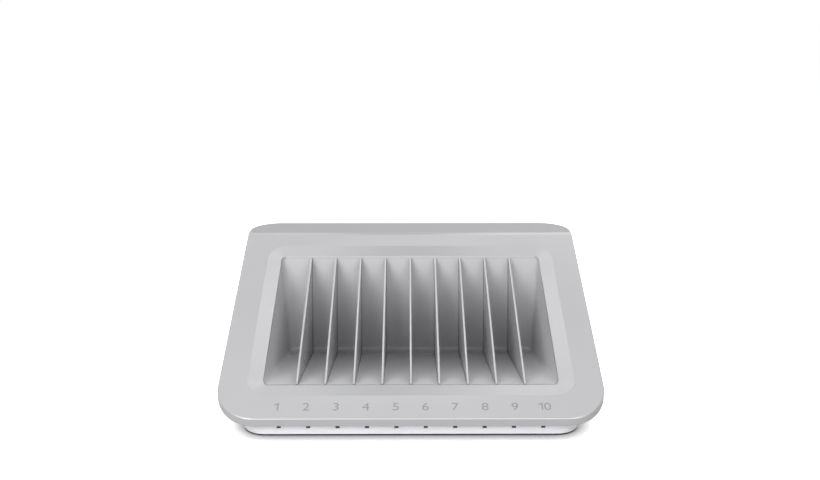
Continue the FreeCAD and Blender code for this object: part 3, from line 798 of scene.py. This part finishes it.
@dataclass
class Studio:
    """White floor that fades into a white world, soft lamps and the camera."""

    camera_place: Place = (-0.0046, -1.03145, 0.44286)
    camera_pitch_deg: float = 14.974
    camera_yaw_deg: float = -0.225
    lens_mm: float = 41.424
    sensor_mm: float = 36.0
    aim_height: float = 0.08
    floor_size: float = 14.0
    floor_colour: str = "f6f6f6"
    floor_near: float = 0.28
    floor_far: float = 1.2
    floor_lift_near: float = 0.74
    # Painted shadow: seen from the camera, the floor darkens within this reach of the station.
    contact_reach: float = 0.02
    contact_depth: float = 1.75
    lamps: tuple[Lamp, ...] = (
        Lamp("key_left", -35, 35, 2.0, 1.2, 1.2, 22.1),
        Lamp("key_right", 35, 35, 2.0, 1.2, 1.2, 9.3),
        Lamp("front_fill", 0, 40, 2.0, 4.0, 0.8, 10.0),
        Lamp("low_fill", 0, 10, 2.0, 4.0, 0.6, 4.5),
        Lamp("top_left", -90, 70, 2.0, 1.2, 1.2, 4.0),
        Lamp("top_right", 90, 70, 2.0, 1.2, 1.2, 4.5),
        Lamp("back_left", -150, 45, 2.0, 1.2, 1.2, 3.3),
        Lamp("back_right", 150, 45, 2.0, 1.2, 1.2, 9.1),
        Lamp("top_gloss", 0, 109.0, 1.6, 0.46, 0.38, 1.5),
    )

    def make_camera(self) -> None:
        """Sets up the camera where the photograph was taken from."""
        data = bpy.data.cameras.new("camera")
        data.sensor_width = self.sensor_mm
        data.lens = self.lens_mm
        camera = add_object(data)
        camera.location = self.camera_place
        camera.rotation_euler = (
            math.radians(90 - self.camera_pitch_deg), 0, math.radians(self.camera_yaw_deg),
        )
        bpy.context.scene.camera = camera

    def seen_rays(self, tree: Tree) -> Socket:
        """Picks out the rays that show the background itself.

        Args:
            tree: Node tree to add to.

        Returns:
            A value of one for camera, glossy and transmission rays, and zero for the rest.
        """
        rays = add_node(tree, "ShaderNodeLightPath").outputs
        seen = rays["Is Camera Ray"]
        for kind in ("Is Glossy Ray", "Is Transmission Ray"):
            either = add_node(tree, "ShaderNodeMath", {"operation": "MAXIMUM"}, {0: seen, 1: rays[kind]})
            seen = either.outputs[0]
        return seen

    def make_floor(self) -> None:
        """Lays a floor that takes the station's shadow and a painted contact shadow near it, and fades to
        pure white further off.
        """
        half = self.floor_size / 2
        mesh = bpy.data.meshes.new("floor")
        corners = [(-half, -half, 0), (half, -half, 0), (half, half, 0), (-half, half, 0)]
        mesh.from_pydata(corners, [], [range(len(corners))])
        material, tree = new_material("white_painted_floor")
        seen = self.seen_rays(tree)
        # Painted contact shadow, seen only by camera, glossy and transmission rays.
        hollow = add_node(tree, "ShaderNodeAmbientOcclusion", {"samples": 16, "Distance": self.contact_reach})
        contact = add_node(
            tree, "ShaderNodeMath", {"operation": "POWER", 1: self.contact_depth}, {0: hollow.outputs["AO"]},
        )
        shadow = add_node(tree, "ShaderNodeMix", {2: 1.0}, {0: seen, 3: contact.outputs["Value"]})
        colour = add_node(
            tree, "ShaderNodeVectorMath", {"operation": "SCALE", 0: linear_colour(self.floor_colour)[:3]},
            {"Scale": shadow.outputs[0]},
        )
        paint = add_node(tree, "ShaderNodeBsdfDiffuse", {}, {"Color": colour.outputs["Vector"]})
        place = add_node(tree, "ShaderNodeTexCoord").outputs["Object"]
        reach = add_node(tree, "ShaderNodeVectorMath", {"operation": "LENGTH"}, {0: place})
        lift = add_node(
            tree, "ShaderNodeMapRange",
            {"From Min": self.floor_near, "From Max": self.floor_far, "To Min": self.floor_lift_near},
            {"Value": reach.outputs["Value"]},
        )
        glow = lift.outputs["Result"]
        for share in (seen, shadow.outputs[0]):
            dimmed = add_node(tree, "ShaderNodeMath", {"operation": "MULTIPLY"}, {0: glow, 1: share})
            glow = dimmed.outputs[0]
        light = add_node(tree, "ShaderNodeEmission", {}, {"Strength": glow})
        both = add_node(
            tree, "ShaderNodeAddShader", {}, {0: paint.outputs["BSDF"], 1: light.outputs["Emission"]},
        )
        add_node(tree, "ShaderNodeOutputMaterial", {}, {"Surface": both.outputs["Shader"]})
        mesh.materials.append(material)
        floor = add_object(mesh)

    def make_light(self) -> None:
        """Makes a white world that only shows and reflects, and hangs the lamps, strongest at front left."""
        scene = bpy.context.scene
        scene.view_settings.view_transform = "Standard"
        world = bpy.data.worlds.new("studio")
        world.use_nodes = True
        tree = world.node_tree
        tree.nodes.clear()
        sky = add_node(
            tree, "ShaderNodeBackground", {"Color": (1, 1, 1, 1)}, {"Strength": self.seen_rays(tree)},
        )
        add_node(tree, "ShaderNodeOutputWorld", {}, {"Surface": sky.outputs["Background"]})
        scene.world = world
        for lamp in self.lamps:
            lamp.hang(Vector((0, 0, self.aim_height)))

    def build(self) -> None:
        """Builds the whole studio."""
        self.make_camera()
        self.make_floor()
        self.make_light()
        LOG.info("studio: camera, floor and %d lamps", len(self.lamps))


@dataclass(frozen=True)
class PanScrew:
    """Cross-recessed pan-head screw, drawn head up along +Z from its seat."""

    radius: float
    height: float
    sides: int = 32
    dome_steps: int = 6
    dome_power: float = 0.5
    skirt_share: float = 0.35
    recess_reach_share: float = 0.62
    recess_width_share: float = 0.2
    recess_depth_share: float = 0.6
    recess_taper_share: float = 0.62

    def make_head(self) -> bpy.types.Mesh:
        """Revolves the head's skirt and dome.

        Returns:
            The closed head, not yet recessed.
        """
        skirt = self.height * self.skirt_share
        profile = [(self.radius, 0.0)]
        for step in range(self.dome_steps):
            angle = math.pi / 2 * step / self.dome_steps
            rise = skirt + (self.height - skirt) * math.sin(angle)
            profile.append((self.radius * math.cos(angle) ** self.dome_power, rise))
        return skin_loops("head", [circle(reach, rise, self.sides) for reach, rise in profile])

    def make_recess(self) -> bpy.types.Mesh:
        """Makes the tapered cross that the driver fits.

        Returns:
            The closed cross, to cut from the head.
        """
        reach, half = self.radius * self.recess_reach_share, self.radius * self.recess_width_share
        corners = [(reach, -half), (reach, half), (half, half)]
        outline = []
        for quarter in range(4):
            turn = Matrix.Rotation(math.pi / 2 * quarter, 2)
            outline += [turn @ Vector(corner) for corner in corners]
        depth = self.height * self.recess_depth_share
        ends = ((self.recess_taper_share, self.height - depth), (1, self.height + depth))
        loops = [
            [Vector((point.x * share, point.y * share, level)) for point in outline] for share, level in ends
        ]
        return skin_loops("recess", loops)

    def drive_all(self, palette: Palette, kind: str, turn: Matrix, places: list[Place]) -> None:
        """Drives a screw in at each place, its cross turned by its number.

        Args:
            palette: Finishes to dress the screws from.
            kind: Name of the screws, before their numbers.
            turn: Turn from the screw's own frame to the station's.
            places: Places of the screws' seats.
        """
        for number, place in enumerate(places, 1):
            aim = turn @ Matrix.Rotation(number, 4, "Z")
            mesh = cut_mesh(f"{kind}_{number}", self.make_head(), self.make_recess())
            mesh.transform(Matrix.Translation(place) @ aim)
            palette.add(mesh, Finish.ZINC, Slot.SCREWS, Body.STATION)


@dataclass(frozen=True)
class PrintedNumber:
    """Number printed as a thin film of ink in a plain wide type, with a flag on the one."""

    height: float
    film: float
    stretch: float = 1.14
    gap_share: float = 0.14
    weld_share: float = 0.1
    one_shares: tuple[tuple[float, float], ...] = (
        (0.27, 0.0), (0.4, 0.0), (0.4, 1.0), (0.3, 1.0), (0.0, 0.79), (0.0, 0.66), (0.27, 0.83),
    )

    def draw_one(self) -> bpy.types.Mesh:
        """Draws the one as a stem with a slanting flag, one unit thick."""
        loops = [[Vector((across, up, level)) for across, up in self.one_shares] for level in (0, 1)]
        return skin_loops("one", loops)

    def draw_figure(self, figure: str) -> bpy.types.Mesh:
        """Draws one figure from Blender's own type.

        Args:
            figure: The figure, from 0 to 9.

        Returns:
            The figure's mesh.
        """
        if figure == "1":
            return self.draw_one()
        letters = bpy.data.curves.new(figure, "FONT")
        letters.body = figure
        letters.extrude = 1.0
        holder = bpy.data.objects.new(figure, letters)
        mesh = bpy.data.meshes.new_from_object(holder)
        bpy.data.objects.remove(holder)
        bpy.data.curves.remove(letters)
        return mesh

    def make(self, name: str, number: int) -> bpy.types.Mesh:
        """Sets a number's figures side by side, lying on the XY plane and centred on the origin.

        Args:
            name: Name of the mesh.
            number: Number to print.

        Returns:
            The film's mesh.
        """
        model = bmesh.new()
        across = 0.0
        for figure in str(number):
            mesh = self.draw_figure(figure)
            corners = [vertex.co for vertex in mesh.vertices]
            low = Vector([min(corner[axis] for corner in corners) for axis in range(3)])
            high = Vector([max(corner[axis] for corner in corners) for axis in range(3)])
            scale = self.height / (high.y - low.y)
            size = Matrix.Diagonal((scale * self.stretch, scale, self.film / (high.z - low.z), 1))
            mesh.transform(Matrix.Translation((across, 0, 0)) @ size @ Matrix.Translation(-low))
            across += (high.x - low.x) * scale * self.stretch + self.height * self.gap_share
            model.from_mesh(mesh)
            bpy.data.meshes.remove(mesh)
        width = across - self.height * self.gap_share
        bmesh.ops.remove_doubles(model, verts=model.verts, dist=self.film * self.weld_share)
        bmesh.ops.translate(model, verts=model.verts, vec=(-width / 2, -self.height / 2, 0))
        return close_mesh(name, model)


@dataclass
class Housing:
    """The grey deck cover with its bay numbers, the white base tray, its feet and case screws."""

    palette: Palette
    bays: int
    tilt_deg: float = 25.0
    front_height: float = 23.0 * MM
    number_pitch: float = 30.45 * MM
    number: PrintedNumber = PrintedNumber(9.8 * MM, 0.05 * MM)
    number_row: float = 16.0 * MM
    number_shift: float = -0.55 * MM
    tower_inset: float = 18.0 * MM
    tower_seats: tuple[float, float] = (19.94 * MM, 131.94 * MM)
    case_screw: PanScrew = PanScrew(2.7 * MM, 1.9 * MM)

    def dress(self) -> None:
        """Gives the housing its finishes."""
        self.palette.dress("deck_cover", Finish.DECK)
        self.palette.dress("base_tray", Finish.BASE)
        self.palette.dress("rubber_feet", Finish.RUBBER)

    def add_numbers(self) -> None:
        """Prints a number in front of each bay."""
        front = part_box("deck_cover")[0].y
        tilt = Matrix.Rotation(math.radians(self.tilt_deg), 4, "X")
        deck = Matrix.Translation((0, front, self.front_height)) @ tilt
        for bay in range(self.bays):
            mesh = self.number.make(f"bay_number_{bay + 1}", bay + 1)
            across = self.number_pitch * (bay - (self.bays - 1) / 2) + self.number_shift
            mesh.transform(deck @ Matrix.Translation((across, self.number_row, 0)))
            self.palette.add(mesh, Finish.INK, Slot.NUMBERS, Body.STATION)

    def add_screws(self) -> None:
        """Drives a screw in at the end of each recess under the base."""
        low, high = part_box("base_tray")
        rows = zip((low.y + self.tower_inset, high.y - self.tower_inset), self.tower_seats)
        columns = (low.x + self.tower_inset, high.x - self.tower_inset)
        places = [(across, along, seat) for along, seat in rows for across in columns]
        self.case_screw.drive_all(self.palette, "case_screw", Matrix.Rotation(math.pi, 4, "X"), places)

    def build(self) -> None:
        """Dresses the housing and adds what it carries."""
        self.dress()
        self.add_numbers()
        self.add_screws()


@dataclass
class DividerWell:
    """The right-angled well and the dividers that part its bays."""

    palette: Palette
    bays: int

    def build(self) -> None:
        """Gives the well and its dividers their finishes."""
        self.palette.dress("well_tub", Finish.WELL)
        for number in range(1, self.bays):
            self.palette.dress(f"divider_{number}", Finish.DIVIDER)


@dataclass
class StatusLights:
    """Light board, its chips and the smoked windows under the front lip."""

    palette: Palette
    bays: int

    def build(self) -> None:
        """Gives the status lights their finishes."""
        self.palette.dress("led_board", Finish.BOARD)
        self.palette.dress("status_leds", Finish.LED)
        for number in range(1, self.bays + 1):
            self.palette.dress(f"light_pipe_{number}", Finish.LENS)


@dataclass
class RearPanel:
    """Grey panel in the back wall, held by six screws."""

    palette: Palette
    screw_inset: float = 3.0 * MM
    screw: PanScrew = PanScrew(2.3 * MM, 1.5 * MM)

    def build(self) -> None:
        """Dresses the panel and drives its screws in."""
        self.palette.dress("rear_panel", Finish.PANEL)
        low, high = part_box("rear_panel")
        columns = (low.x + self.screw_inset, (low.x + high.x) / 2, high.x - self.screw_inset)
        rows = (low.z + self.screw_inset, high.z - self.screw_inset)
        places = [(across, high.y, up) for up in rows for across in columns]
        self.screw.drive_all(self.palette, "panel_screw", Matrix.Rotation(-math.pi / 2, 4, "X"), places)


@dataclass
class ChargingPorts:
    """Row of charging ports: folded shells, tongues with sprung contacts, and the board behind them."""

    palette: Palette
    bays: int
    skin: float = 0.5 * MM
    corner: float = 0.8 * MM
    corner_steps: int = 5
    lip_round: float = 0.16 * MM
    contacts: int = 4
    contact_pitch: float = 2.2 * MM
    contact_width: float = 1.0 * MM
    contact_thickness: float = 0.15 * MM
    contact_bow: float = 0.35 * MM
    contact_share: float = 0.85
    contact_top_share: float = 0.5
    contact_steps: int = 8

    def make_shell(self, number: int) -> bpy.types.Mesh:
        """Makes one folded steel shell with round corners and a rolled mouth.

        Args:
            number: Number of the port's bay.

        Returns:
            The shell's mesh, in place.
        """
        low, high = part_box(f"usb_port_{number}")
        middle = (low + high) / 2
        size = high - low
        stations = [
            (low.y, 0.0), (high.y - self.lip_round, 0.0), (high.y, self.lip_round),
            (high.y, self.skin - self.lip_round), (high.y - self.lip_round, self.skin),
            (low.y + self.skin, self.skin),
        ]
        loops = []
        for along, inset in stations:
            outline = rounded_rectangle(
                size.x - 2 * inset, size.z - 2 * inset, self.corner - inset, self.corner_steps,
            )
            loops.append([Vector((middle.x + across, along, middle.z + up)) for across, up in outline])
        return skin_loops(f"port_shell_{number}", loops)

    def make_contacts(self, number: int) -> bpy.types.Mesh:
        """Makes the sprung contacts under one port's tongue.

        Args:
            number: Number of the port's bay.

        Returns:
            The contacts' mesh, in place.
        """
        low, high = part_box("port_tongues")
        shell_low, shell_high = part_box(f"usb_port_{number}")
        middle = (shell_low.x + shell_high.x) / 2
        length = (high.y - low.y) * self.contact_share
        half = self.contact_width / 2
        model = bmesh.new()
        for place in range(self.contacts):
            across = middle + self.contact_pitch * (place - (self.contacts - 1) / 2)
            loops = []
            for step in range(self.contact_steps + 1):
                share = step / self.contact_steps
                along = low.y + length * share
                drop = self.contact_bow * math.sin(math.pi * share) ** 2
                top = low.z - drop * self.contact_top_share
                bottom = low.z - self.contact_thickness - drop
                corners = ((-half, top), (half, top), (half, bottom), (-half, bottom))
                loops.append([Vector((across + side, along, up)) for side, up in corners])
            add_skin(model, loops)
        return close_mesh(f"port_contacts_{number}", model)

    def build(self) -> None:
        """Dresses the board and builds each port."""
        self.palette.dress("charging_board", Finish.BOARD)
        self.palette.dress("board_coils", Finish.FERRITE)
        self.palette.dress("port_tongues", Finish.BLOCK)
        for number in range(1, self.bays + 1):
            shell = self.palette.add(self.make_shell(number), Finish.PORT, Slot.PORTS, Body.STATION)
            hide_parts(f"usb_port_{number}")
            self.palette.add(self.make_contacts(number), Finish.GOLD, Slot.CONTACTS, Body.STATION)


@dataclass
class MainsInlet:
    """Black mains inlet with its three pins."""

    palette: Palette

    def build(self) -> None:
        """Gives the inlet and its pins their finishes."""
        self.palette.dress("mains_inlet", Finish.NYLON)
        self.palette.dress("inlet_pins", Finish.BRASS)


@dataclass
class PowerSwitch:
    """Black rocker switch with an on line and an off ring printed on the rocker."""

    palette: Palette
    mark_rise: float = 4.6 * MM
    mark_film: float = 0.05 * MM
    line_size: tuple[float, float] = (0.7 * MM, 3.6 * MM)
    line_round_share: float = 1 / 3
    line_round_steps: int = 4
    ring_radii: tuple[float, float] = (1.3 * MM, 1.8 * MM)
    ring_sides: int = 40
    weld_share: float = 0.1
    ray_start: float = 100.0 * MM

    def face_place(self, up: float) -> Matrix:
        """Finds where a mark lies on the rocker's face.

        Args:
            up: Height of the mark above the rocker's middle.

        Returns:
            Turn and shift from the mark's own plane to the rocker's face.
        """
        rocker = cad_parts["switch_rocker"]
        low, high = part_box("switch_rocker")
        middle = (low + high) / 2
        start = Vector((middle.x, high.y + self.ray_start, middle.z + up))
        point, normal = rocker.ray_cast(start, Vector((0, -1, 0)))[1:3]
        side = Vector((-1, 0, 0))
        turn = Matrix((side, normal.cross(side), normal)).transposed()
        return Matrix.Translation(point) @ turn.to_4x4()

    def make_line(self) -> bpy.types.Mesh:
        """Makes the on line.

        Returns:
            The line's film, lying on its own plane.
        """
        width, height = self.line_size
        outline = rounded_rectangle(width, height, width * self.line_round_share, self.line_round_steps)
        loops = [[Vector((across, up, film)) for across, up in outline] for film in (0, self.mark_film)]
        return skin_loops("switch_on_line", loops)

    def make_ring(self) -> bpy.types.Mesh:
        """Makes the off ring.

        Returns:
            The ring's film, lying on its own plane.
        """
        inner, outer = self.ring_radii
        rounds = ((inner, 0), (outer, 0), (outer, self.mark_film), (inner, self.mark_film), (inner, 0))
        model = bmesh.new()
        add_skin(model, [circle(reach, film, self.ring_sides) for reach, film in rounds], cap_ends=False)
        bmesh.ops.remove_doubles(model, verts=model.verts, dist=self.mark_film * self.weld_share)
        return close_mesh("switch_off_ring", model)

    def build(self) -> None:
        """Dresses the switch and prints its marks."""
        self.palette.dress("switch_housing", Finish.NYLON)
        self.palette.dress("switch_rocker", Finish.ROCKER)
        for mesh, up in ((self.make_line(), self.mark_rise), (self.make_ring(), -self.mark_rise)):
            mesh.transform(self.face_place(up))
            self.palette.add(mesh, Finish.MARK, Slot.MARKS, Body.ROCKER)


@dataclass
class PowerSupply:
    """Power supply inside the base."""

    palette: Palette

    def build(self) -> None:
        """Gives the power supply its finishes."""
        self.palette.dress("power_supply_case", Finish.ALUMINIUM)
        self.palette.dress("power_supply_cover", Finish.ZINC)
        self.palette.dress("supply_terminals", Finish.BLOCK)


def main() -> None:
    """Builds the studio and the station's sub-assemblies in order."""
    logging.basicConfig(level=logging.INFO, format="%(name)s %(message)s")
    palette = Palette()
    bays = sum(node.startswith("light_pipe_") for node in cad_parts)
    assemblies = (
        Studio(), Housing(palette, bays), DividerWell(palette, bays), StatusLights(palette, bays),
        RearPanel(palette), ChargingPorts(palette, bays), MainsInlet(palette), PowerSwitch(palette),
        PowerSupply(palette),
    )
    for assembly in assemblies:
        assembly.build()


if __name__ == "__main__":
    main()
